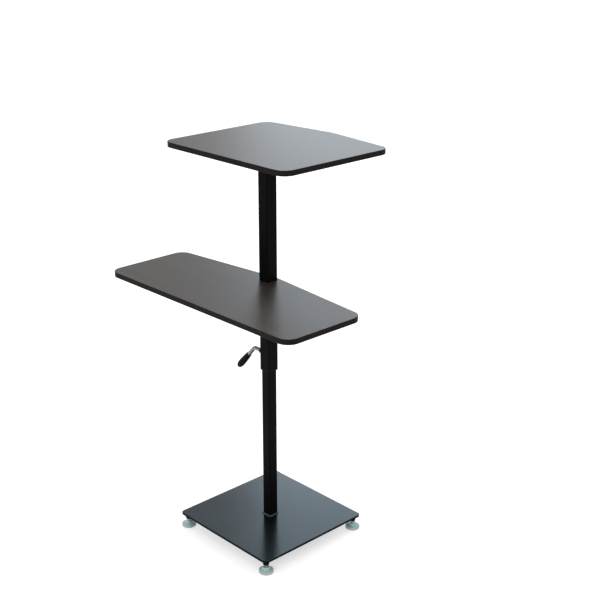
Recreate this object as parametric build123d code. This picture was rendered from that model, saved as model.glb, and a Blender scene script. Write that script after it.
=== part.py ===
from build123d import *
import os
from math import cos, radians, sin

# Laptop desk: steel base plate on levelling feet, telescopic square column, two laminate shelves.
# Millimetres, +Z up from the floor, +X to the user's right, +Y to the back.

# Shelves: reaches are measured from the column's axis, heights are the top surfaces.
board_thickness = 12
band_thickness = 1
band_chamfer = 0.5
shelf_corner_radius = 28
gable_share = 0.108  # fall of the back edge, as a share of the half width
upper_shelf_width = 394
upper_shelf_front_reach = 132
upper_shelf_back_reach = 198
upper_shelf_height = 937
lower_shelf_width = 600
lower_shelf_front_reach = 219
lower_shelf_back_reach = 25
lower_shelf_height = 632
column_hole_clearance = 0.5

# Base plate and column tubes
base_side = 308
base_thickness = 5
base_corner_radius = 10
base_chamfer = 0.6
base_clearance = 32
inner_tube_side = 25
outer_tube_side = 30
tube_wall = 1.5
tube_corner_share = 2  # outside corner radius, as a share of the wall
inner_tube_length = 618
sleeve_end_height = 414
weld_leg = 4
weld_toe = 0.8

# Plastic guides between the two tubes
slide_clearance = 0.2
guide_cap_flange = 3
guide_cap_depth = 22
bush_flange = 3
bush_depth = 24

# Levelling feet: disc with a conical hub, a stud that turns in it, and a nut welded under the base
foot_inset = 14
foot_radius = 17
foot_rim_height = 7
foot_rim_round = 2
foot_hub_radius = 7
foot_height = 14
foot_sole = 3.5
stud_radius = 4
stud_head_radius = 7
stud_head_height = 4
stud_engagement = 6.5
thread_clearance = 0.05
nut_sides = 6
nut_across_flats = 13
nut_height = 12
nut_weld_leg = 3.5

# Clamp: a bent lever screwed through a boss on the sleeve's left face
clamp_above_sleeve_end = 39.6
boss_radius = 7
boss_length = 13
boss_chamfer = 1
boss_weld_leg = 2
sleeve_hole_clearance = 0.5
clamp_pad_radius = 3.6
clamp_pad_length = 5
clamp_pad_gap = 0.1
lever_thread_radius = 4
lever_shoulder_gap = 0.4
lever_shank_radius = 5
lever_corner_reach = 49
lever_bend_radius = 14
lever_drop_angle = 47.9
lever_to_grip = 29.8
lever_in_grip = 34
grip_length = 58
grip_neck_radius = 6.4
grip_widest_radius = 8.1
grip_widest_share = 0.7
grip_waist_share = 0.24

# Steel brackets under the shelves
mount_plate_thickness = 4
mount_plate_width = 180
mount_plate_depth = 150
mount_corner_radius = 8
spigot_depth = 30
spigot_clearance = 0.2
bracket_width = 150
bracket_front_reach = 115
bracket_back_reach = 17
bracket_hole_clearance = 0.2
gusset_thickness = 4
gusset_length = 85
gusset_height = 75
gusset_nose = 10

# Fasteners
screw_radius = 2
screw_bite = 9
screw_head_radius = 4
screw_head_height = 2.4
screw_clearance = 0.05
screw_edge_inset = 15
lock_screw_radius = 3
lock_screw_head_radius = 5.2
lock_screw_head_height = 3.3
lock_screw_hole_clearance = 0.3

cut_overrun = 5

# Places worked out from the sizes above
column_y = (lower_shelf_front_reach - upper_shelf_back_reach) / 2
base_top = base_clearance + base_thickness
upper_board_bottom = upper_shelf_height - board_thickness
lower_board_bottom = lower_shelf_height - board_thickness
mount_plate_bottom = upper_board_bottom - mount_plate_thickness
bracket_bottom = lower_board_bottom - mount_plate_thickness
sleeve_bottom = sleeve_end_height + bush_flange
inner_tube_top = base_top + inner_tube_length
inner_bore_side = inner_tube_side - 2 * tube_wall
outer_bore_side = outer_tube_side - 2 * tube_wall
tube_corner = tube_wall * tube_corner_share
bore_corner = tube_corner - tube_wall
nut_bore_radius = stud_radius + thread_clearance
boss_bore_radius = lever_thread_radius + thread_clearance
screw_hole_radius = screw_radius + screw_clearance
clamp_height = sleeve_end_height + clamp_above_sleeve_end
foot_place = base_side / 2 - foot_inset
nut_bottom = base_clearance - nut_height
nut_corner_radius = nut_across_flats / 2 / cos(radians(180 / nut_sides))

os.makedirs("parts", exist_ok=True)


def save(node, shape):
    placed = Pos(0, column_y, 0) * shape
    placed.label = node
    export_step(placed, f"parts/{node}.step")


on_its_end = (Align.CENTER, Align.CENTER, Align.MIN)


def group(solids):
    return Compound(list(solids))


def prism(sketch, bottom, top):
    return Pos(0, 0, bottom) * extrude(sketch, top - bottom)


def rounded_square(side, radius):
    return RectangleRounded(side, side, radius)


def box_tube(side, bottom, top):
    bore = side - 2 * tube_wall
    section = rounded_square(side, tube_corner) - rounded_square(bore, bore_corner)
    return prism(section, bottom, top)


# Fillet bead round a square tube: way is 1 for a bead that climbs and -1 for one that hangs.
def weld_ring(side, toe_height, way):
    foot = rounded_square(side + 2 * weld_leg, tube_corner + weld_leg)
    crest = rounded_square(side + 2 * weld_toe, tube_corner + weld_toe)
    crest_height = toe_height + way * weld_leg
    bead = loft([Pos(0, 0, toe_height) * foot, Pos(0, 0, crest_height) * crest])
    low, high = sorted((toe_height, crest_height))
    return bead - prism(rounded_square(side, tube_corner), low - cut_overrun, high + cut_overrun)


def shelf_outline(width, front_reach, back_reach):
    half = width / 2
    shoulder = back_reach - gable_share * half
    front = [(-half, -front_reach), (half, -front_reach)]
    back = [(half, shoulder), (0, back_reach), (-half, shoulder)]
    outline = make_face(Polyline(*front, *back, close=True))
    rounded = [v for v in outline.vertices() if abs(v.X) > half / 2]
    return fillet(rounded, shelf_corner_radius)


def screw_places(width, front_reach, back_reach):
    across = width / 2 - screw_edge_inset
    places = [-front_reach + screw_edge_inset, back_reach - screw_edge_inset]
    return [(x, y) for x in (-across, across) for y in places]


def shelf_board(outline, bottom, places):
    inset = offset(outline, amount=-band_thickness)
    board = prism(inset, bottom, bottom + board_thickness)
    pilot = Circle(screw_hole_radius)
    for x, y in places:
        board -= Pos(x, y, 0) * prism(pilot, bottom - cut_overrun, bottom + screw_bite)
    return board


def edge_band(outline, bottom):
    top = bottom + board_thickness
    whole = prism(outline, bottom, top)
    faces = whole.faces().sort_by(Axis.Z)
    whole = chamfer(faces[0].edges() + faces[-1].edges(), band_chamfer)
    inset = offset(outline, amount=-band_thickness)
    return whole - prism(inset, bottom - cut_overrun, top + cut_overrun)


def wood_screw(x, y, plate_bottom):
    head = extrude(Circle(screw_head_radius), -screw_head_height)
    head = fillet(head.faces().sort_by(Axis.Z)[0].edges(), screw_head_height / 2)
    shank = extrude(Circle(screw_radius), mount_plate_thickness + screw_bite)
    return Pos(x, y, plate_bottom) * (head + shank)


def drilled_plate(section, bottom, places):
    top = bottom + mount_plate_thickness
    plate = prism(section, bottom, top)
    hole = Circle(screw_hole_radius)
    for x, y in places:
        plate -= Pos(x, y, 0) * prism(hole, bottom - cut_overrun, top + cut_overrun)
    return plate


# Base plate, its column and the weld between them
base = prism(rounded_square(base_side, base_corner_radius), base_clearance, base_top)
base = chamfer(base.faces().sort_by(Axis.Z)[-1].edges(), base_chamfer)
save("base_plate", base)
save("lower_column_tube", box_tube(inner_tube_side, base_top, inner_tube_top))
save("column_foot_weld", weld_ring(inner_tube_side, base_top, 1))

cap_side = outer_bore_side - 2 * slide_clearance
cap = prism(rounded_square(cap_side, bore_corner), inner_tube_top, inner_tube_top + guide_cap_flange)
plug_bottom = inner_tube_top - guide_cap_depth
cap += prism(rounded_square(inner_bore_side, bore_corner), plug_bottom, inner_tube_top)
save("column_top_guide", cap)

# Levelling feet, one under each corner of the base
foot_corners = {
    "front_left": (-foot_place, -foot_place),
    "front_right": (foot_place, -foot_place),
    "rear_left": (-foot_place, foot_place),
    "rear_right": (foot_place, foot_place),
}


def foot_pad():
    profile = Polyline(
        (0, 0),
        (foot_radius - foot_rim_round, 0),
        (foot_radius, foot_rim_round),
        (foot_radius, foot_rim_height),
        (foot_hub_radius, foot_height),
        (0, foot_height),
        close=True,
    )
    pad = revolve(Plane.XZ * make_face(profile), Axis.Z)
    pocket_top = foot_sole + stud_head_height + 2 * thread_clearance
    pad -= prism(Circle(stud_head_radius + thread_clearance), foot_sole, pocket_top)
    return pad - prism(Circle(nut_bore_radius), foot_sole, foot_height + cut_overrun)


def foot_stud():
    head_bottom = foot_sole + thread_clearance
    head = prism(Circle(stud_head_radius), head_bottom, head_bottom + stud_head_height)
    return head + prism(Circle(stud_radius), head_bottom, nut_bottom + stud_engagement)


nut_outline = RegularPolygon(nut_across_flats / 2, nut_sides, major_radius=False)


def weld_nut():
    return prism(nut_outline - Circle(nut_bore_radius), nut_bottom, base_clearance)


def nut_weld():
    tip_radius = nut_corner_radius + weld_toe
    bead = Cone(tip_radius, nut_corner_radius + nut_weld_leg, nut_weld_leg, align=on_its_end)
    bead = Pos(0, 0, base_clearance - nut_weld_leg) * bead
    return bead - prism(nut_outline, nut_bottom, base_clearance + cut_overrun)


for corner, (x, y) in foot_corners.items():
    save(f"foot_pad_{corner}", Pos(x, y, 0) * foot_pad())
    save(f"foot_stud_{corner}", Pos(x, y, 0) * foot_stud())
save("foot_weld_nuts", group(Pos(x, y, 0) * weld_nut() for x, y in foot_corners.values()))
save("foot_nut_welds", group(Pos(x, y, 0) * nut_weld() for x, y in foot_corners.values()))

# Sleeve: the outer tube, its bush, and the holes for the clamp and the lock screw
sideways = Plane(origin=(0, 0, clamp_height), x_dir=(0, 1, 0), z_dir=(-1, 0, 0))
lock_height = mount_plate_bottom - spigot_depth / 2
backwards = Plane(origin=(0, 0, lock_height), x_dir=(1, 0, 0), z_dir=(0, 1, 0))
outer_face = outer_tube_side / 2
bore_face = outer_bore_side / 2


def round_bar(plane, radius, start, end):
    return plane * prism(Circle(radius), start, end)


sleeve = box_tube(outer_tube_side, sleeve_bottom, mount_plate_bottom)
clamp_hole_radius = boss_bore_radius + sleeve_hole_clearance
sleeve -= round_bar(sideways, clamp_hole_radius, bore_face - cut_overrun, outer_face + cut_overrun)
lock_hole_radius = lock_screw_radius + lock_screw_hole_clearance
sleeve -= round_bar(backwards, lock_hole_radius, bore_face - cut_overrun, outer_face + cut_overrun)
save("upper_column_tube", sleeve)

bush_bore_side = inner_tube_side + 2 * slide_clearance
bush = prism(rounded_square(outer_tube_side, tube_corner), sleeve_end_height, sleeve_bottom)
bush += prism(rounded_square(outer_bore_side, bore_corner), sleeve_bottom, sleeve_bottom + bush_depth)
bush_bore = rounded_square(bush_bore_side, tube_corner)
bush -= prism(bush_bore, sleeve_end_height - cut_overrun, sleeve_bottom + bush_depth + cut_overrun)
save("sleeve_guide_bush", bush)

# Clamp: boss, its weld, the pressure pad and the bent lever with its grip
boss_end = outer_face + boss_length
boss = round_bar(sideways, boss_radius, outer_face, boss_end)
boss = chamfer(boss.faces().sort_by(Axis.X)[0].edges(), boss_chamfer)
boss -= round_bar(sideways, boss_bore_radius, outer_face - cut_overrun, boss_end + cut_overrun)
save("clamp_boss", boss)

boss_toe_radius = boss_radius + boss_weld_leg
boss_bead = Cone(boss_toe_radius, boss_radius, boss_weld_leg, align=on_its_end)
boss_bead = sideways * (Pos(0, 0, outer_face) * boss_bead)
boss_bead -= round_bar(sideways, boss_radius, outer_face - cut_overrun, boss_end)
save("clamp_boss_weld", boss_bead)

pad_face = inner_tube_side / 2 + clamp_pad_gap
lever_start = pad_face + clamp_pad_length
save("clamp_pressure_pad", round_bar(sideways, clamp_pad_radius, pad_face, lever_start))

drop = radians(lever_drop_angle)
descent = Vector(-cos(drop), 0, -sin(drop))
lever_corner = Vector(-lever_corner_reach, 0, clamp_height)
grip_start = lever_corner + descent * lever_to_grip
lever_end = lever_corner + descent * (lever_to_grip + lever_in_grip)
lever_shoulder = boss_end + lever_shoulder_gap
route = Plane.XZ * FilletPolyline(
    (-lever_shoulder, clamp_height),
    (lever_corner.X, lever_corner.Z),
    (lever_end.X, lever_end.Z),
    radius=lever_bend_radius,
)
rod_section = Plane(origin=route @ 0, z_dir=route % 0) * Circle(lever_shank_radius)
rod = sweep(rod_section, path=route)
rod += round_bar(sideways, lever_thread_radius, lever_start, lever_shoulder)
save("clamp_lever_rod", rod)

grip_axis = Plane(origin=grip_start, x_dir=(0, 1, 0), z_dir=descent)
waist_radius = (grip_neck_radius + grip_widest_radius) / 2
grip_side = Spline(
    (grip_neck_radius, 0),
    (waist_radius, grip_waist_share * grip_length),
    (grip_widest_radius, grip_widest_share * grip_length),
    (0, grip_length),
    tangents=((0, 1), (-1, 0)),
)
grip_middle = Line((0, grip_length), (0, 0))
grip_neck = Line((0, 0), (grip_neck_radius, 0))
grip_outline = make_face([grip_side, grip_middle, grip_neck])
grip = revolve(Plane.XZ * grip_outline, Axis.Z)
grip -= prism(Circle(lever_shank_radius), -cut_overrun, lever_in_grip)
save("clamp_grip", grip_axis * grip)

# Upper shelf on its mount plate, which plugs into the top of the sleeve
mount_places = screw_places(mount_plate_width, mount_plate_depth / 2, mount_plate_depth / 2)
mount_section = RectangleRounded(mount_plate_width, mount_plate_depth, mount_corner_radius)
save("upper_mount_plate", drilled_plate(mount_section, mount_plate_bottom, mount_places))

spigot_side = outer_bore_side - 2 * spigot_clearance
spigot = box_tube(spigot_side, mount_plate_bottom - spigot_depth, mount_plate_bottom)
spigot_face = spigot_side / 2
lock_tip = spigot_face - tube_wall
lock_thread_radius = lock_screw_radius + thread_clearance
spigot -= round_bar(backwards, lock_thread_radius, lock_tip - cut_overrun, spigot_face + cut_overrun)
save("upper_mount_spigot", spigot)

inside_bead = rounded_square(spigot_side - 2 * tube_wall, bore_corner)
inside_crest = rounded_square(spigot_side - 2 * tube_wall - 2 * weld_leg, bore_corner)
bead_bottom = mount_plate_bottom - weld_leg
spigot_weld = prism(inside_bead, bead_bottom, mount_plate_bottom)
bead_ends = [Pos(0, 0, bead_bottom) * inside_bead, Pos(0, 0, mount_plate_bottom) * inside_crest]
spigot_weld -= loft(bead_ends)
save("upper_spigot_weld", spigot_weld)

lock_head_end = outer_face + lock_screw_head_height
lock_screw = round_bar(backwards, lock_screw_radius, lock_tip, outer_face)
lock_head = round_bar(backwards, lock_screw_head_radius, outer_face, lock_head_end)
lock_screw += fillet(lock_head.faces().sort_by(Axis.Y)[-1].edges(), lock_screw_head_height / 2)
save("spigot_lock_screw", lock_screw)

upper_outline = shelf_outline(upper_shelf_width, upper_shelf_front_reach, upper_shelf_back_reach)
save("upper_shelf_board", shelf_board(upper_outline, upper_board_bottom, mount_places))
save("upper_shelf_edge_band", edge_band(upper_outline, upper_board_bottom))
save("upper_shelf_screws", group(wood_screw(x, y, mount_plate_bottom) for x, y in mount_places))

# Lower shelf, threaded over the sleeve onto a bracket plate with a gusset
bracket_places = screw_places(bracket_width, bracket_front_reach, bracket_back_reach)
bracket_depth = bracket_front_reach + bracket_back_reach
bracket_middle = (bracket_back_reach - bracket_front_reach) / 2
bracket_blank = RectangleRounded(bracket_width, bracket_depth, mount_corner_radius)
bracket_hole_side = outer_tube_side + 2 * bracket_hole_clearance
bracket_hole = rounded_square(bracket_hole_side, tube_corner + bracket_hole_clearance)
bracket_section = Pos(0, bracket_middle) * bracket_blank - bracket_hole
save("lower_bracket_plate", drilled_plate(bracket_section, bracket_bottom, bracket_places))

gusset_profile = Polyline(
    (-outer_face, bracket_bottom),
    (-outer_face - gusset_length, bracket_bottom),
    (-outer_face - gusset_length, bracket_bottom - gusset_nose),
    (-outer_face - gusset_nose, bracket_bottom - gusset_height),
    (-outer_face, bracket_bottom - gusset_height),
    close=True,
)
gusset = extrude(Plane.YZ * make_face(gusset_profile), gusset_thickness / 2, both=True)
save("lower_bracket_gusset", gusset)
save("lower_bracket_weld", weld_ring(outer_tube_side, bracket_bottom, -1) - gusset)

lower_outline = shelf_outline(lower_shelf_width, lower_shelf_front_reach, lower_shelf_back_reach)
column_hole_side = outer_tube_side + 2 * column_hole_clearance
lower_board = shelf_board(lower_outline, lower_board_bottom, bracket_places)
column_hole = rounded_square(column_hole_side, tube_corner + column_hole_clearance)
lower_board -= prism(column_hole, lower_board_bottom - cut_overrun, lower_shelf_height + cut_overrun)
save("lower_shelf_board", lower_board)
save("lower_shelf_edge_band", edge_band(lower_outline, lower_board_bottom))
save("lower_shelf_screws", group(wood_screw(x, y, bracket_bottom) for x, y in bracket_places))
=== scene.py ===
import bpy
import math
from mathutils import Matrix, Vector


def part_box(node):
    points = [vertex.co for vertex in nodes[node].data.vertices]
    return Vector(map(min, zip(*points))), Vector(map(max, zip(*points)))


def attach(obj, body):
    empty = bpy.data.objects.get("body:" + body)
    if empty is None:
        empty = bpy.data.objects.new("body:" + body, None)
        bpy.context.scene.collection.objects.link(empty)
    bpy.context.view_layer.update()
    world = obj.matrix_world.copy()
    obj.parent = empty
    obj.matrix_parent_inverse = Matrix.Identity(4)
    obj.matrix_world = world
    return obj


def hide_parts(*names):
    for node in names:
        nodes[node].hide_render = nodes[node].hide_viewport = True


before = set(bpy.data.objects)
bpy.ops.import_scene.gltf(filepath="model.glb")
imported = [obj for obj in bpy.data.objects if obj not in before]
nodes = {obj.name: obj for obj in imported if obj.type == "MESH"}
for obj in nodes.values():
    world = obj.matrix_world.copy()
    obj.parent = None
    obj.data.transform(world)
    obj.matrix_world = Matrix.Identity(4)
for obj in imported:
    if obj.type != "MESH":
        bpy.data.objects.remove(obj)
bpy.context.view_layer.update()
mm = 0.001

baseLow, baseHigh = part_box("base_plate")
columnX = (baseLow.x + baseHigh.x) / 2
columnY = (baseLow.y + baseHigh.y) / 2
feetCorners = ["front_left", "front_right", "rear_left", "rear_right"]


def centreOf(node):
    low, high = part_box(node)
    return (low + high) / 2


def hexColour(code):
    channels = [int(code[i:i + 2], 16) / 255 for i in (1, 3, 5)]
    linear = [c / 12.92 if c <= 0.04045 else ((c + 0.055) / 1.055) ** 2.4 for c in channels]
    return (*linear, 1.0)


def addNode(tree, kind, settings=None, links=None):
    node = tree.nodes.new(kind)
    for key, value in (settings or {}).items():
        if isinstance(key, int) or key in node.inputs:
            node.inputs[key].default_value = value
        else:
            setattr(node, key, value)
    for key, source in (links or {}).items():
        tree.links.new(source, node.inputs[key])
    return node


def newMaterial(name):
    material = bpy.data.materials.new(name)
    material.use_nodes = True
    tree = material.node_tree
    tree.nodes.clear()
    coords = addNode(tree, "ShaderNodeTexCoord")
    shader = addNode(tree, "ShaderNodeBsdfPrincipled")
    addNode(tree, "ShaderNodeOutputMaterial", links={"Surface": shader.outputs[0]})
    return material, tree, coords.outputs["Object"], shader


def setRamp(node, stops):
    ramp = node.color_ramp
    while len(ramp.elements) < len(stops):
        ramp.elements.new(0.5)
    for element, (place, colour) in zip(ramp.elements, stops):
        element.position = place
        element.color = hexColour(colour)


def deselectAll():
    if bpy.context.object and bpy.context.object.mode != "OBJECT":
        bpy.ops.object.mode_set(mode="OBJECT")
    bpy.ops.object.select_all(action="DESELECT")


# Camera, at the photograph's viewing angle
cameraPlace = {
    "fromColumn": (1859.8, -1661.7, 1498.4),  # mm
    "heading": 46.585,  # degrees left of straight back
    "pitch": 20.145,  # degrees below level
    "lens": 70.68,
    "sensor": 36.0,
    "sight": 100.0,  # metres
}


def makeCamera(c):
    data = bpy.data.cameras.new("photoCamera")
    data.sensor_width = c["sensor"]
    data.lens = c["lens"]
    data.clip_end = c["sight"]
    camera = bpy.data.objects.new("photoCamera", data)
    x, y, z = (v * mm for v in c["fromColumn"])
    camera.location = (columnX + x, columnY + y, z)
    camera.rotation_euler = (math.radians(90 - c["pitch"]), 0, math.radians(c["heading"]))
    bpy.context.scene.collection.objects.link(camera)
    bpy.context.scene.camera = camera


# Pale floor, white surround and soft lamps, in metres and watts
studio = {
    "floorRadius": 9.0,
    "floorSides": 96,
    "floorColour": "#d4d4d3",
    "floorLift": 0.56,  # brings the lit floor up to the surround's white, and leaves the shadow
    "surroundLight": 0.75,  # what the surround gives to matt surfaces
}
lamps = {
    "overhead": {"place": (-0.2, 0.2, 3.6), "aim": (0, 0, 0.6), "size": (2.4, 2.4),
                 "power": 45, "colour": "#ffffff"},
    "window": {"place": (-2.7, 3.3, 1.3), "aim": (0, 0, 0.8), "size": (1.6, 1.6),
               "power": 31, "colour": "#e2f2ff"},
    "fanlight": {"place": (-2.7, 3.3, 3.1), "aim": (0, 0, 0.8), "size": (1.6, 2.0),
                 "power": 14, "colour": "#e2f2ff"},
    "front": {"place": (1.2, -2.6, 1.0), "aim": (0, 0, 0.3), "size": (1.6, 1.2),
              "power": 25, "colour": "#ffffff"},
}


# White to the eye, to mirrors and through glass alike
def seenRays(tree):
    path = addNode(tree, "ShaderNodeLightPath")
    pair = addNode(tree, "ShaderNodeMath", {"operation": "MAXIMUM"},
                   {0: path.outputs["Is Camera Ray"], 1: path.outputs["Is Glossy Ray"]})
    return addNode(tree, "ShaderNodeMath", {"operation": "MAXIMUM"},
                   {0: pair.outputs[0], 1: path.outputs["Is Transmission Ray"]}).outputs[0]


def makeFloor(s):
    deselectAll()
    bpy.ops.mesh.primitive_circle_add(vertices=s["floorSides"], radius=s["floorRadius"],
                                      fill_type="NGON")
    floor = bpy.context.object
    floor.name = "studioFloor"
    material = bpy.data.materials.new("paleFloorPaint")
    material.use_nodes = True
    tree = material.node_tree
    tree.nodes.clear()
    lift = addNode(tree, "ShaderNodeMapRange", {"To Max": s["floorLift"]},
                   {"Value": seenRays(tree)})
    paint = addNode(tree, "ShaderNodeBsdfDiffuse", {"Color": hexColour(s["floorColour"])})
    glow = addNode(tree, "ShaderNodeEmission", links={"Strength": lift.outputs[0]})
    both = addNode(tree, "ShaderNodeAddShader", links={0: paint.outputs[0], 1: glow.outputs[0]})
    addNode(tree, "ShaderNodeOutputMaterial", links={"Surface": both.outputs[0]})
    floor.data.materials.append(material)


def makeSurround(s):
    world = bpy.data.worlds.new("whiteSurround")
    world.use_nodes = True
    bpy.context.scene.world = world
    tree = world.node_tree
    tree.nodes.clear()
    level = addNode(tree, "ShaderNodeMapRange", {"To Min": s["surroundLight"], "To Max": 1.0},
                    {"Value": seenRays(tree)})
    wall = addNode(tree, "ShaderNodeBackground", {"Color": (1, 1, 1, 1)},
                   {"Strength": level.outputs[0]})
    addNode(tree, "ShaderNodeOutputWorld", links={"Surface": wall.outputs[0]})


def makeLamp(name, l):
    data = bpy.data.lights.new(name, "AREA")
    data.shape = "RECTANGLE"
    data.size, data.size_y = l["size"]
    data.energy = l["power"]
    data.color = hexColour(l["colour"])[:3]
    lamp = bpy.data.objects.new(name, data)
    lamp.location = l["place"]
    aim = Vector(l["aim"]) - Vector(l["place"])
    lamp.rotation_euler = aim.to_track_quat("-Z", "Y").to_euler()
    lamp.visible_camera = False
    bpy.context.scene.collection.objects.link(lamp)


bpy.context.scene.view_settings.view_transform = "Standard"
makeCamera(cameraPlace)
makeFloor(studio)
makeSurround(studio)
for lampName, lampValues in lamps.items():
    makeLamp(lampName, lampValues)
print("camera, floor and lamps set")


# Powder coat: sprayed and baked polyester, black, with a fine pebble that breaks up its shine
# and broad rubbed or dusty patches
powderCoats = {
    "tubeCoat": {"name": "mattBlackPowderCoat", "colours": ("#060606", "#0b0b0b"),
                 "roughness": 0.5, "specular": 0.032, "shine": "#ffffff", "pebbleMm": 0.7},
    # the blue in these colours and in the shine is painted reflection: it stands in for bluish room
    # light mirrored by the satin top
    "baseCoat": {"name": "satinBlackPowderCoat", "colours": ("#080c0d", "#0d1214"),
                 "roughness": 0.21, "specular": 0.34, "shine": "#bfeaff", "pebbleMm": 0.6},
    # paler: a painted highlight on the weld bead, and the blue in its colours and shine is painted
    # reflection of bluish room light
    "weldCoat": {"name": "highlightPaintedBlackPowderCoat", "colours": ("#1c2123", "#2f3538"),
                 "roughness": 0.24, "specular": 0.5, "shine": "#bfeaff", "pebbleMm": 0.6},
}
coatSurface = {
    "pebbleDepthMm": 0.15, "pebbleStrength": 0.12, "patchMm": 111.11, "glossSpread": 0.04,
}


def powderCoat(c):
    s = coatSurface
    material, tree, place, shader = newMaterial(c["name"])
    shader.inputs["Specular IOR Level"].default_value = c["specular"]
    shader.inputs["Specular Tint"].default_value = hexColour(c["shine"])
    pebble = addNode(tree, "ShaderNodeTexNoise",
                     {"Scale": 1 / (c["pebbleMm"] * mm), "Detail": 3.0, "Roughness": 0.55},
                     {"Vector": place})
    patch = addNode(tree, "ShaderNodeTexNoise", {"Scale": 1 / (s["patchMm"] * mm), "Detail": 4.0},
                    {"Vector": place})
    tint = addNode(tree, "ShaderNodeValToRGB", links={"Fac": patch.outputs["Fac"]})
    setRamp(tint, [(0.3, c["colours"][0]), (0.75, c["colours"][1])])
    gloss = addNode(tree, "ShaderNodeMapRange",
                    {"To Min": c["roughness"] - s["glossSpread"],
                     "To Max": c["roughness"] + s["glossSpread"]},
                    {"Value": patch.outputs["Fac"]})
    bump = addNode(tree, "ShaderNodeBump",
                   {"Strength": s["pebbleStrength"], "Distance": s["pebbleDepthMm"] * mm},
                   {"Height": pebble.outputs["Fac"]})
    tree.links.new(tint.outputs["Color"], shader.inputs["Base Color"])
    tree.links.new(gloss.outputs[0], shader.inputs["Roughness"])
    tree.links.new(bump.outputs["Normal"], shader.inputs["Normal"])
    return material


# Melamine-faced board in a wenge print: dark brown, straight fine grain, satin with pressed pores.
# The pores are drawn a few times wider than real ones, so that they show
wenge = {
    "streakMm": 2.4, "streakLengthMm": 260,
    "figureMm": 38, "figureLengthMm": 520, "figureShare": 0.4,
    "poreMm": 0.9, "poreLengthMm": 14, "poreDepthMm": 0.08, "poreStrength": 0.25,
    "poreRange": (0.62, 0.75), "poreColour": "#1b1513",
    "tones": [(0.3, "#251f1b"), (0.5, "#332c27"), (0.72, "#453d35")],
    "roughness": (0.36, 0.48), "specular": 0.22,
}


def wengeLaminate(w):
    material, tree, place, shader = newMaterial("pressedWengeMelamine")
    shader.inputs["Specular IOR Level"].default_value = w["specular"]
    layers = []
    for width, length, detail in (
        (w["streakMm"], w["streakLengthMm"], 5.0),
        (w["figureMm"], w["figureLengthMm"], 3.0),
        (w["poreMm"], w["poreLengthMm"], 1.0),
    ):
        along, across = 1 / (length * mm), 1 / (width * mm)
        stretch = addNode(tree, "ShaderNodeMapping", {"Scale": (along, across, across)},
                          {"Vector": place})
        layers.append(addNode(tree, "ShaderNodeTexNoise",
                              {"Scale": 1.0, "Detail": detail, "Roughness": 0.6},
                              {"Vector": stretch.outputs[0]}))
    streak, figure, pore = layers
    blend = addNode(tree, "ShaderNodeMix", {"data_type": "FLOAT", 0: w["figureShare"]},
                    {2: streak.outputs["Fac"], 3: figure.outputs["Fac"]})
    tone = addNode(tree, "ShaderNodeValToRGB", links={"Fac": blend.outputs[0]})
    setRamp(tone, w["tones"])
    poreMask = addNode(tree, "ShaderNodeMapRange",
                       {"From Min": w["poreRange"][0], "From Max": w["poreRange"][1]},
                       {"Value": pore.outputs["Fac"]})
    dark = addNode(tree, "ShaderNodeMix", {"data_type": "RGBA", 7: hexColour(w["poreColour"])},
                   {0: poreMask.outputs[0], 6: tone.outputs["Color"]})
    gloss = addNode(tree, "ShaderNodeMapRange",
                    {"To Min": w["roughness"][0], "To Max": w["roughness"][1]},
                    {"Value": blend.outputs[0]})
    bump = addNode(tree, "ShaderNodeBump",
                   {"Strength": w["poreStrength"], "Distance": w["poreDepthMm"] * mm,
                    "invert": True},
                   {"Height": poreMask.outputs[0]})
    tree.links.new(dark.outputs[2], shader.inputs["Base Color"])
    tree.links.new(gloss.outputs[0], shader.inputs["Roughness"])
    tree.links.new(bump.outputs["Normal"], shader.inputs["Normal"])
    return material


# Moulded or extruded thermoplastic: even colour, faint flow marks, fine spark-eroded grain
plastics = {
    "edgeBand": {"name": "extrudedAbsBand", "colours": ("#151211", "#1b1715"),
                 "roughness": 0.5, "specular": 0.06, "grainMm": 0.6, "depthMm": 0.04},
    "guide": {"name": "mouldedNylon", "colours": ("#0a0a0a", "#0f0f0f"),
              "roughness": 0.55, "specular": 0.06, "grainMm": 0.5, "depthMm": 0.04},
    "grip": {"name": "mouldedPolypropylene", "colours": ("#050505", "#090909"),
             "roughness": 0.42, "specular": 0.055, "grainMm": 0.7, "depthMm": 0.1},
}
plasticSurface = {"flowMm": 33.333, "grainStrength": 0.3, "glossSpread": 0.06}


def mouldedPlastic(p):
    s = plasticSurface
    material, tree, place, shader = newMaterial(p["name"])
    shader.inputs["Specular IOR Level"].default_value = p["specular"]
    grain = addNode(tree, "ShaderNodeTexNoise", {"Scale": 1 / (p["grainMm"] * mm), "Detail": 2.0},
                    {"Vector": place})
    flow = addNode(tree, "ShaderNodeTexNoise", {"Scale": 1 / (s["flowMm"] * mm), "Detail": 2.0},
                   {"Vector": place})
    tint = addNode(tree, "ShaderNodeValToRGB", links={"Fac": flow.outputs["Fac"]})
    setRamp(tint, [(0.35, p["colours"][0]), (0.7, p["colours"][1])])
    gloss = addNode(tree, "ShaderNodeMapRange",
                    {"To Min": p["roughness"] - s["glossSpread"],
                     "To Max": p["roughness"] + s["glossSpread"]},
                    {"Value": grain.outputs["Fac"]})
    bump = addNode(tree, "ShaderNodeBump",
                   {"Strength": s["grainStrength"], "Distance": p["depthMm"] * mm},
                   {"Height": grain.outputs["Fac"]})
    tree.links.new(tint.outputs["Color"], shader.inputs["Base Color"])
    tree.links.new(gloss.outputs[0], shader.inputs["Roughness"])
    tree.links.new(bump.outputs["Normal"], shader.inputs["Normal"])
    return material


# Low-density polythene: waxy, lets some light into it, green where it is thick and greyer at
# the thin rim
polythene = {
    "core": "#a3cbc1", "rim": "#a6b4b6", "coreRadiusMm": 8.0, "rimRadiusMm": 16.5,
    "flowMm": 9.0, "flowDepthMm": 0.2, "flowStrength": 0.25, "roughness": (0.28, 0.46),
    "haze": 0.8, "hazeColour": (0.7, 1.0, 0.9), "hazeMm": 9.0,
}


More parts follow.
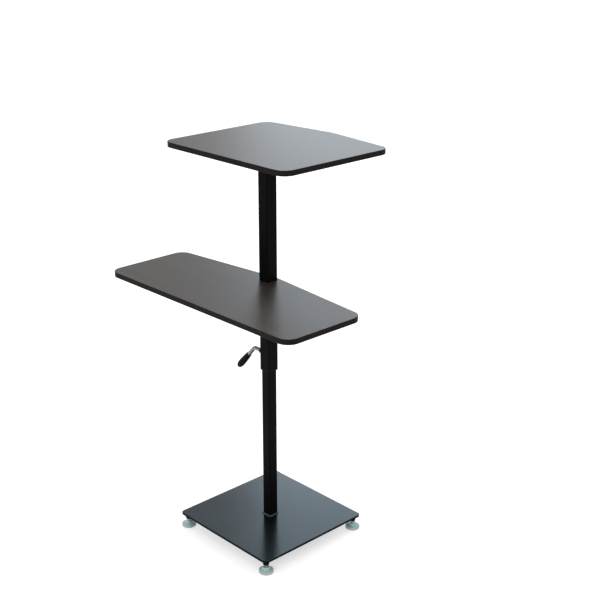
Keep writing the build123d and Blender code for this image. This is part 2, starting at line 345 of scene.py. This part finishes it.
def waxyPolythene(p):
    material, tree, place, shader = newMaterial("mouldedPolythene")
    pad = centreOf("foot_pad_rear_right")
    flat = addNode(tree, "ShaderNodeMapping",
                   {"Location": (-columnX, -columnY, 0), "Scale": (1, 1, 0)}, {"Vector": place})
    folded = addNode(tree, "ShaderNodeVectorMath", {"operation": "ABSOLUTE"},
                     {0: flat.outputs[0]})  # the four corners on one
    reach = addNode(tree, "ShaderNodeVectorMath",
                    {"operation": "DISTANCE", 1: (pad.x - columnX, pad.y - columnY, 0)},
                    {0: folded.outputs[0]})
    outward = addNode(tree, "ShaderNodeMapRange",
                      {"From Min": p["coreRadiusMm"] * mm, "From Max": p["rimRadiusMm"] * mm},
                      {"Value": reach.outputs["Value"]})
    tint = addNode(tree, "ShaderNodeValToRGB", links={"Fac": outward.outputs[0]})
    setRamp(tint, [(0.0, p["core"]), (1.0, p["rim"])])
    flow = addNode(tree, "ShaderNodeTexNoise", {"Scale": 1 / (p["flowMm"] * mm), "Detail": 3.0},
                   {"Vector": place})
    gloss = addNode(tree, "ShaderNodeMapRange",
                    {"To Min": p["roughness"][0], "To Max": p["roughness"][1]},
                    {"Value": flow.outputs["Fac"]})
    bump = addNode(tree, "ShaderNodeBump",
                   {"Strength": p["flowStrength"], "Distance": p["flowDepthMm"] * mm},
                   {"Height": flow.outputs["Fac"]})
    tree.links.new(tint.outputs["Color"], shader.inputs["Base Color"])
    tree.links.new(gloss.outputs[0], shader.inputs["Roughness"])
    tree.links.new(bump.outputs["Normal"], shader.inputs["Normal"])
    shader.inputs["Subsurface Weight"].default_value = p["haze"]
    shader.inputs["Subsurface Radius"].default_value = p["hazeColour"]
    shader.inputs["Subsurface Scale"].default_value = p["hazeMm"] * mm
    return material


# Bare and plated metal: zinc is dull and blue-grey with fine mottling, brass keeps its turned
# shine, and chrome is a mirror whose dark, mottled colour is painted reflection of a dark room and
# highlights
metals = {
    "zinc": {"name": "zincPlatedSteel", "colours": ("#a9adb0", "#c3c6c8"),
             "roughness": 0.32, "mottleMm": 1.5},
    "brass": {"name": "turnedBrass", "colours": ("#b08d4a", "#c9a65e"),
              "roughness": 0.3, "mottleMm": 1.2},
    # painted reflection: the dark colours and their light and dark mottle stand in for a dark room
    # and bright highlights mirrored in the rod
    "chrome": {"name": "chromePlatedSteel", "colours": ("#55595c", "#94989a"),
               "roughness": 0.16, "mottleMm": 5.0},
}
metalGloss = (0.7, 1.4)  # shares of the roughness


def platedMetal(m):
    material, tree, place, shader = newMaterial(m["name"])
    shader.inputs["Metallic"].default_value = 1.0
    mottle = addNode(tree, "ShaderNodeTexNoise", {"Scale": 1 / (m["mottleMm"] * mm), "Detail": 4.0},
                     {"Vector": place})
    tint = addNode(tree, "ShaderNodeValToRGB", links={"Fac": mottle.outputs["Fac"]})
    setRamp(tint, [(0.3, m["colours"][0]), (0.7, m["colours"][1])])
    gloss = addNode(tree, "ShaderNodeMapRange",
                    {"To Min": m["roughness"] * metalGloss[0],
                     "To Max": m["roughness"] * metalGloss[1]},
                    {"Value": mottle.outputs["Fac"]})
    tree.links.new(tint.outputs["Color"], shader.inputs["Base Color"])
    tree.links.new(gloss.outputs[0], shader.inputs["Roughness"])
    return material


finishes = {"laminate": wengeLaminate(wenge), "foot": waxyPolythene(polythene)}
finishTables = [(powderCoat, powderCoats), (mouldedPlastic, plastics), (platedMetal, metals)]
for makeFinish, table in finishTables:
    for finishName, finishValues in table.items():
        finishes[finishName] = makeFinish(finishValues)

nodeFinishes = {
    "tubeCoat": ["lower_column_tube", "upper_column_tube", "clamp_boss", "clamp_boss_weld",
                 "upper_mount_plate", "upper_mount_spigot", "upper_spigot_weld",
                 "lower_bracket_plate", "lower_bracket_gusset", "lower_bracket_weld",
                 "column_foot_weld", "foot_weld_nuts", "foot_nut_welds"],
    "baseCoat": ["base_plate"],
    "laminate": ["upper_shelf_board", "lower_shelf_board"],
    "edgeBand": ["upper_shelf_edge_band", "lower_shelf_edge_band"],
    "guide": ["column_top_guide", "sleeve_guide_bush"],
    "foot": ["foot_pad_" + corner for corner in feetCorners],
    "zinc": ["foot_stud_" + corner for corner in feetCorners]
    + ["upper_shelf_screws", "lower_shelf_screws", "spigot_lock_screw"],
    "brass": ["clamp_pressure_pad"],
    "chrome": ["clamp_lever_rod"],
    "grip": ["clamp_grip"],
}
for finishName, nodeNames in nodeFinishes.items():
    for nodeName in nodeNames:
        nodes[nodeName].data.materials.clear()
        nodes[nodeName].data.materials.append(finishes[finishName])
print("materials made:", len(finishes))

# Modelling helpers: sizes in millimetres, angles in degrees
seamGap = 0.01
smoothAngle = 32


def takeUp(piece):
    deselectAll()
    bpy.context.view_layer.objects.active = piece
    piece.select_set(True)


def settle():
    bpy.ops.object.transform_apply(location=True, rotation=True, scale=True)


def drawLine(name, points):
    deselectAll()
    bpy.ops.mesh.primitive_plane_add(size=mm)
    piece = bpy.context.object
    piece.name = name
    bpy.context.tool_settings.mesh_select_mode = (True, False, False)
    bpy.ops.object.mode_set(mode="EDIT")
    bpy.ops.mesh.select_all(action="SELECT")
    bpy.ops.mesh.merge(type="CENTER")
    bpy.ops.transform.translate(value=Vector(points[0]) * mm)
    for here, there in zip(points, points[1:]):
        step = (Vector(there) - Vector(here)) * mm
        bpy.ops.mesh.extrude_vertices_move(TRANSFORM_OT_translate={"value": step})
    bpy.ops.object.mode_set(mode="OBJECT")
    return piece


def closeSeams():
    bpy.ops.mesh.select_all(action="SELECT")
    bpy.ops.mesh.remove_doubles(threshold=seamGap * mm)
    bpy.ops.mesh.normals_make_consistent(inside=False)
    bpy.ops.object.mode_set(mode="OBJECT")


# Profile of (radius, height) turned round the z axis
def lathe(name, profile, steps):
    piece = drawLine(name, [(radius, 0, height) for radius, height in profile])
    bpy.ops.object.mode_set(mode="EDIT")
    bpy.ops.mesh.select_all(action="SELECT")
    bpy.ops.mesh.spin(steps=steps, angle=math.tau, center=(0, 0, 0), axis=(0, 0, 1))
    closeSeams()
    return piece


def useModifier(piece, kind, settings):
    takeUp(piece)
    bpy.ops.object.modifier_add(type=kind)
    modifier = piece.modifiers[-1]
    for key, value in settings.items():
        setattr(modifier, key, value)
    bpy.ops.object.modifier_apply(modifier=modifier.name)


def roundEdges(piece, width, segments=3, angle=25):
    useModifier(piece, "BEVEL", {"width": width * mm, "segments": segments,
                                 "limit_method": "ANGLE", "angle_limit": math.radians(angle)})


def cutAway(piece, tool):
    useModifier(piece, "BOOLEAN", {"operation": "DIFFERENCE", "solver": "EXACT", "object": tool})
    bpy.data.objects.remove(tool)


def moveTo(piece, place, turn=(0, 0, 0)):
    takeUp(piece)
    piece.location = place
    piece.rotation_euler = [math.radians(angle) for angle in turn]
    settle()
    return piece


def copyOf(piece, name):
    twin = piece.copy()
    twin.data = piece.data.copy()
    twin.name = name
    bpy.context.scene.collection.objects.link(twin)
    return twin


def joinAll(name, pieces):
    deselectAll()
    for piece in pieces:
        piece.select_set(True)
    bpy.context.view_layer.objects.active = pieces[0]
    bpy.ops.object.join()
    settle()
    pieces[0].name = name
    return pieces[0]


def fitPiece(piece, finish, body, slot, *replaced):
    takeUp(piece)
    bpy.ops.object.shade_smooth_by_angle(angle=math.radians(smoothAngle))
    if finish:
        piece.data.materials.clear()
        piece.data.materials.append(finishes[finish])
    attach(piece, body)
    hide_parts(*replaced)


# Selects the points, edges or faces of the active piece that pass a test, and opens edit mode
def pick(piece, kind, test):
    bpy.ops.object.mode_set(mode="OBJECT")
    mesh = piece.data
    groups = {"points": mesh.vertices, "edges": mesh.edges, "faces": mesh.polygons}
    for group in groups.values():
        group.foreach_set("select", [False] * len(group))
    for part in groups[kind]:
        part.select = test(part)
    bpy.context.tool_settings.mesh_select_mode = [name == kind for name in groups]
    bpy.ops.object.mode_set(mode="EDIT")


# Coarse M8 thread, cut off square at both ends. The tooth is in shares of the depth and pitch
metricThread = {
    "radius": 4.0, "depth": 0.72, "pitch": 1.25, "steps": 30,
    "tooth": [(0, 0), (0, 0.12), (1, 0.45), (1, 0.6), (0, 0.93), (0, 1)],
    "leadIn": 1.0137,  # turns, which keep the cutting planes off the thread's own points
    "cutGap": 0.0005,
}


def threadRod(name, bottom, top, m):
    root, pitch = m["radius"] - m["depth"], m["pitch"]
    start = bottom - m["leadIn"] * pitch
    rod = drawLine(name, [(root + out * m["depth"], 0, start + along * pitch)
                          for out, along in m["tooth"]])
    turns = math.ceil((top - bottom) / pitch) + 2
    useModifier(rod, "SCREW", {"angle": math.tau, "screw_offset": pitch * mm, "iterations": turns,
                               "steps": m["steps"], "render_steps": m["steps"]})
    bpy.ops.object.mode_set(mode="EDIT")
    closeSeams()
    for height, keepsAbove in ((bottom, True), (top, False)):
        bpy.ops.object.mode_set(mode="EDIT")
        bpy.ops.mesh.select_all(action="SELECT")
        bpy.ops.mesh.bisect(plane_co=(0, 0, height * mm), plane_no=(0, 0, 1), use_fill=True,
                            clear_inner=keepsAbove, clear_outer=not keepsAbove,
                            threshold=m["cutGap"] * mm)
        closeSeams()
    return rod


# Base plate: the top is satin, the sheared edge and the underside stay matt
basePlate = {
    "corner": 10.0, "cornerSteps": 10, "arris": 0.7, "arrisSteps": 3, "near": 0.1,
    "margin": 1.5,  # narrow rim that keeps the broad faces flat in the light
    "level": 0.99, "satin": 0.6,  # least upright part of a broad and of a satin face's normal
}


def makeBasePlate(b):
    deselectAll()
    bpy.ops.mesh.primitive_cube_add(size=1, location=(baseLow + baseHigh) / 2)
    plate = bpy.context.object
    plate.name = "basePlate"
    plate.scale = baseHigh - baseLow
    settle()
    near = b["near"] * mm

    def heights(edge):
        return [plate.data.vertices[i].co.z for i in edge.vertices]

    pick(plate, "edges", lambda edge: max(heights(edge)) - min(heights(edge)) > near)
    bpy.ops.mesh.bevel(offset=b["corner"] * mm, segments=b["cornerSteps"], affect="EDGES")
    pick(plate, "edges", lambda edge: min(heights(edge)) > baseHigh.z - near)
    bpy.ops.mesh.bevel(offset=b["arris"] * mm, segments=b["arrisSteps"], affect="EDGES")
    for height in (baseHigh.z, baseLow.z):
        pick(plate, "faces", lambda face: abs(face.normal.z) > b["level"]
             and abs(face.center.z - height) < near)
        bpy.ops.mesh.inset(thickness=b["margin"] * mm)
    bpy.ops.object.mode_set(mode="OBJECT")
    for finish in ("tubeCoat", "baseCoat"):
        plate.data.materials.append(finishes[finish])
    for face in plate.data.polygons:
        face.material_index = 1 if face.normal.z > b["satin"] else 0
    fitPiece(plate, None, "stand", "powder_coat", "base_plate")


makeBasePlate(basePlate)
print("base plate made")

# Levelling feet: profiles of (radius, height)
footPad = {
    "profile": [(0, 0.8), (10.5, 0.8), (11.4, 0), (15.2, 0), (17, 1.8), (17, 6.2), (15.9, 7.3),
                (13.6, 7.9), (11.4, 8.9), (9.4, 10.4), (8.0, 12.0), (7, 14), (4.1, 14),
                (4.1, 7.65), (7.1, 7.65), (7.1, 3.5), (0, 3.5)],
    "softening": 0.8, "steps": 72,
}
footStud = {
    "head": [(0, 3.55), (6.9, 3.55), (6.9, 7.5), (0, 7.5)], "softening": 0.4, "steps": 36,
    "threadBottom": 7.45, "top": 26.5,
}


def makeFoot(corner, f, s):
    centre = centreOf("foot_pad_" + corner)
    place = (centre.x, centre.y, 0)
    pad = lathe("footPad_" + corner, f["profile"], f["steps"])
    roundEdges(pad, f["softening"])
    moveTo(pad, place)
    fitPiece(pad, "foot", "foot_" + corner, "foot_plastic", "foot_pad_" + corner)
    head = lathe("studHead", s["head"], s["steps"])
    roundEdges(head, s["softening"], 2)
    thread = threadRod("stud", s["threadBottom"], s["top"], metricThread)
    stud = moveTo(joinAll("footStud_" + corner, [thread, head]), place)
    fitPiece(stud, "zinc", "stud_" + corner, "zinc_steel", "foot_stud_" + corner)


for cornerName in feetCorners:
    makeFoot(cornerName, footPad, footStud)
print("levelling feet made")

# Clamp lever: threaded end and bent shank, drawn along z, then laid over to point left
clampLever = {
    "threadStart": 17.65, "threadEnd": 29.0, "overlap": 0.6, "shankRadius": 5.0, "sides": 32,
    "cornerReach": 49.0, "bendRadius": 14.0, "bendSteps": 14, "drop": 47.9,
    "toGrip": 29.8, "inGrip": 34.0,
}
# Grip: swells from the neck to its widest place, and closes in a blunt round end
clampGrip = {
    "length": 58.0, "neck": 6.4, "widest": 8.25, "widestShare": 0.68, "bluntness": 2.3,
    "bore": [(0, 34.2), (5.06, 34.2), (5.06, 0.4), (5.45, 0), (5.9, 0), (6.4, 0.6)],
    "rings": 16, "steps": 56,
}


def makeLever(c):
    drop = math.radians(c["drop"])
    tangent = c["bendRadius"] * math.tan(drop / 2)
    shankStart = c["threadEnd"] - c["overlap"]
    bendStart = c["cornerReach"] - tangent
    deselectAll()
    bpy.ops.mesh.primitive_circle_add(vertices=c["sides"], radius=c["shankRadius"] * mm,
                                      fill_type="NGON", location=(0, 0, shankStart * mm))
    shank = bpy.context.object
    settle()
    pick(shank, "faces", lambda face: True)
    straight = (0, 0, (bendStart - shankStart) * mm)
    bpy.ops.mesh.extrude_region_move(TRANSFORM_OT_translate={"value": straight})
    bpy.ops.mesh.spin(steps=c["bendSteps"], angle=drop, axis=(0, 1, 0),
                      center=(-c["bendRadius"] * mm, 0, bendStart * mm))
    reach = (c["toGrip"] + c["inGrip"] - tangent) * mm
    slanted = (-math.sin(drop) * reach, 0, math.cos(drop) * reach)
    bpy.ops.mesh.extrude_region_move(TRANSFORM_OT_translate={"value": slanted})
    closeSeams()
    thread = threadRod("leverThread", c["threadStart"], c["threadEnd"], metricThread)
    rod = joinAll("clampLeverRod", [thread, shank])
    moveTo(rod, (columnX, columnY, centreOf("clamp_boss").z), (0, -90, 0))
    fitPiece(rod, "chrome", "clamp_lever", "lever_chrome", "clamp_lever_rod")


def makeGrip(g, c):
    widestAt = g["widestShare"] * g["length"]
    side = list(g["bore"])
    for i in range(1, g["rings"] + 1):
        ease = math.sin(i / g["rings"] * math.pi / 2)
        side.append((g["neck"] + (g["widest"] - g["neck"]) * ease, widestAt * i / g["rings"]))
    for i in range(1, g["rings"]):
        angle = i / g["rings"] * math.pi / 2
        radius = g["widest"] * math.cos(angle) ** (2 / g["bluntness"])
        rise = math.sin(angle) ** (2 / g["bluntness"])
        side.append((radius, widestAt + (g["length"] - widestAt) * rise))
    side.append((0, g["length"]))
    grip = lathe("clampGrip", side, g["steps"])
    drop = math.radians(c["drop"])
    x = columnX - (c["cornerReach"] + c["toGrip"] * math.cos(drop)) * mm
    z = centreOf("clamp_boss").z - c["toGrip"] * math.sin(drop) * mm
    moveTo(grip, (x, columnY, z), (0, -90 - c["drop"], 0))
    fitPiece(grip, "grip", "clamp_lever", "grip_plastic", "clamp_grip")


makeLever(clampLever)
makeGrip(clampGrip, clampLever)
print("clamp lever and grip made")

# Weld beads: overlapping ripples laid along a seam, in shares of the weld's leg
weldRipple = {
    "length": 1.05, "width": 1.35, "thickness": 0.55, "crest": 0.12, "crestStart": 0.1,
    "sit": 0.38, "spacing": 0.55, "segments": 12, "rings": 7,
}
beads = {
    "columnFoot": {"side": 25.0, "corner": 3.0, "leg": 4.0},
    "bracket": {"side": 30.0, "corner": 3.0, "leg": 4.0, "gussetHalf": 3.0, "facing": 0.5},
    "boss": {"radius": 7.0, "leg": 2.0},
    "nut": {"radius": 7.4, "leg": 3.5},
}


def makeRipple(leg, w):
    deselectAll()
    bpy.ops.mesh.primitive_uv_sphere_add(segments=w["segments"], ring_count=w["rings"],
                                         radius=leg * mm / 2)
    ripple = bpy.context.object
    bpy.ops.object.mode_set(mode="EDIT")
    bpy.ops.mesh.select_all(action="SELECT")
    bpy.ops.transform.resize(value=(w["length"], w["width"], w["thickness"]))
    pick(ripple, "points", lambda point: point.co.x > leg * mm * w["crestStart"])
    bpy.ops.transform.translate(value=(0, 0, w["crest"] * leg * mm))  # the front stands higher
    bpy.ops.object.mode_set(mode="OBJECT")
    return ripple


def layBead(name, seam, leg, w):
    first = makeRipple(leg, w)
    ripples = []
    for place, outward, up in seam:
        ripple = copyOf(first, name)
        face = (outward + up).normalized()
        across = (up - outward).normalized()
        turned = Matrix((across.cross(face), across, face)).transposed().to_4x4()
        ripple.matrix_world = Matrix.Translation(place + face * w["sit"] * leg * mm) @ turned
        ripples.append(ripple)
    bpy.data.objects.remove(first)
    return joinAll(name, ripples)


# A seam is a list of places, each with its way out and its way up
def ringSeam(centre, up, radius, spacing):
    side = up.orthogonal().normalized()
    count = round(math.tau * radius / spacing)
    spokes = [Matrix.Rotation(math.tau * i / count, 3, up) @ side for i in range(count)]
    return [(centre + spoke * radius * mm, spoke, up) for spoke in spokes]


def squareSeam(centre, up, side, corner, spacing):
    flat = side - 2 * corner
    quarter = flat + math.pi / 2 * corner
    count = round(4 * quarter / spacing)
    seam = []
    for i in range(count):
        turns, along = divmod(i * 4 * quarter / count, quarter)
        angle = max(0.0, along - flat) / corner
        x = side / 2 - corner + corner * math.cos(angle)
        y = min(along, flat) - flat / 2 + corner * math.sin(angle)
        turn = Matrix.Rotation(turns * math.pi / 2, 3, "Z")
        outward = turn @ Vector((math.cos(angle), math.sin(angle), 0))
        seam.append((centre + turn @ Vector((x, y, 0)) * mm, outward, up))
    return seam


def makeBeads(b, w):
    up, down, left = Vector((0, 0, 1)), Vector((0, 0, -1)), Vector((-1, 0, 0))
    axis = Vector((columnX, columnY, 0))
    c = b["columnFoot"]
    seam = squareSeam(axis + up * baseHigh.z, up, c["side"], c["corner"], c["leg"] * w["spacing"])
    bead = layBead("columnFootWeld", seam, c["leg"], w)
    fitPiece(bead, "weldCoat", "stand", "powder_coat", "column_foot_weld")

    c = b["bracket"]
    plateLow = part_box("lower_bracket_plate")[0].z
    seam = squareSeam(axis + up * plateLow, down, c["side"], c["corner"], c["leg"] * w["spacing"])
    clear = [(place, outward, way) for place, outward, way in seam  # none where the gusset stands
             if outward.y > -c["facing"] or abs(place.x - columnX) > c["gussetHalf"] * mm]
    bead = layBead("bracketWeld", clear, c["leg"], w)
    fitPiece(bead, "tubeCoat", "carrier", "powder_coat", "lower_bracket_weld")

    c = b["boss"]
    root = Vector((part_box("clamp_boss")[1].x, columnY, centreOf("clamp_boss").z))
    seam = ringSeam(root, left, c["radius"], c["leg"] * w["spacing"])
    bead = layBead("bossWeld", seam, c["leg"], w)
    fitPiece(bead, "tubeCoat", "carrier", "powder_coat", "clamp_boss_weld")

    c = b["nut"]
    rings = []
    for corner in feetCorners:
        centre = centreOf("foot_pad_" + corner)
        centre.z = baseLow.z
        rings += ringSeam(centre, down, c["radius"], c["leg"] * w["spacing"])
    bead = layBead("footNutWelds", rings, c["leg"], w)
    fitPiece(bead, "tubeCoat", "stand", "powder_coat", "foot_nut_welds")


makeBeads(beads, weldRipple)
print("weld beads made")

# Nuts under the base
weldNut = {
    "acrossFlats": 13.0, "sides": 6, "turn": 30, "chamfer": 0.7,
    "boreRadius": 4.08, "boreSides": 40,
    "boreShare": 1.4,  # length of the cutter, as a share of the nut's height
}


def makeNuts(n):
    low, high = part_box("foot_weld_nuts")
    height = high.z - low.z
    middle = (0, 0, low.z + height / 2)
    deselectAll()
    bpy.ops.mesh.primitive_cylinder_add(vertices=n["sides"], depth=height, location=middle,
                                        radius=n["acrossFlats"] / math.sqrt(3) * mm)
    nut = bpy.context.object
    settle()
    roundEdges(nut, n["chamfer"], 2)
    bpy.ops.mesh.primitive_cylinder_add(vertices=n["boreSides"], depth=height * n["boreShare"],
                                        location=middle, radius=n["boreRadius"] * mm)
    cutAway(nut, bpy.context.object)
    nuts = []
    for corner in feetCorners:
        centre = centreOf("foot_pad_" + corner)
        nuts.append(moveTo(copyOf(nut, "weldNut"), (centre.x, centre.y, 0), (0, 0, n["turn"])))
    bpy.data.objects.remove(nut)
    fitPiece(joinAll("footWeldNuts", nuts), "tubeCoat", "stand", "powder_coat", "foot_weld_nuts")


makeNuts(weldNut)
print("nuts made")

# Screws that hold the boards, and the lock screw at the back of the column's top
boardScrew = {
    "profile": [(0, -2.4), (2.2, -2.3), (3.3, -1.75), (3.9, -0.9), (4, 0),
                (2, 0), (2, 11.5), (0.5, 13), (0, 13)],
    "headRadius": 4.0, "steps": 36, "firstTurn": 20, "turnStep": 35,
    "crossLength": 4.6, "crossWidth": 0.95, "crossDepth": 1.5, "crossBottom": -2.6,
}
lockScrew = {
    "profile": [(0, 3.3), (2.6, 3.3), (4.0, 2.75), (4.9, 1.7), (5.2, 0.6), (5.2, 0),
                (3, 0), (3, -3.1), (0, -3.1)],
    "headTop": 3.3, "steps": 40, "socketAcross": 4.0, "socketSides": 6, "socketDepth": 2.0,
}
boardFixings = {
    "upperShelfScrews": ("upper_shelf_screws", "upper_mount_plate"),
    "lowerShelfScrews": ("lower_shelf_screws", "lower_bracket_plate"),
}


def makeBoardScrews(name, node, plate, s):
    screw = lathe("boardScrew", s["profile"], s["steps"])
    for turn in (0, 90):
        deselectAll()
        bpy.ops.mesh.primitive_cube_add(size=mm)
        slot = bpy.context.object
        slot.scale = (s["crossLength"], s["crossWidth"], s["crossDepth"])
        moveTo(slot, (0, 0, (s["crossBottom"] + s["crossDepth"] / 2) * mm), (0, 0, turn))
        cutAway(screw, slot)
    low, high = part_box(node)
    rim = s["headRadius"] * mm
    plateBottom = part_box(plate)[0].z
    screws = []
    for x in (low.x + rim, high.x - rim):
        for y in (low.y + rim, high.y - rim):
            turn = s["firstTurn"] + s["turnStep"] * len(screws)
            screws.append(moveTo(copyOf(screw, name), (x, y, plateBottom), (0, 0, turn)))
    bpy.data.objects.remove(screw)
    fitPiece(joinAll(name, screws), "zinc", "carrier", "zinc_steel", node)


def makeLockScrew(s):
    screw = lathe("spigotLockScrew", s["profile"], s["steps"])
    deselectAll()
    bpy.ops.mesh.primitive_cylinder_add(vertices=s["socketSides"], depth=2 * s["socketDepth"] * mm,
                                        radius=s["socketAcross"] / math.sqrt(3) * mm,
                                        location=(0, 0, s["headTop"] * mm))
    cutAway(screw, bpy.context.object)
    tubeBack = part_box("upper_column_tube")[1].y
    moveTo(screw, (columnX, tubeBack, centreOf("spigot_lock_screw").z), (-90, 0, 0))
    fitPiece(screw, "zinc", "carrier", "zinc_steel", "spigot_lock_screw")


for screwsName, (screwsNode, plateNode) in boardFixings.items():
    makeBoardScrews(screwsName, screwsNode, plateNode, boardScrew)
makeLockScrew(lockScrew)
print("screws made")
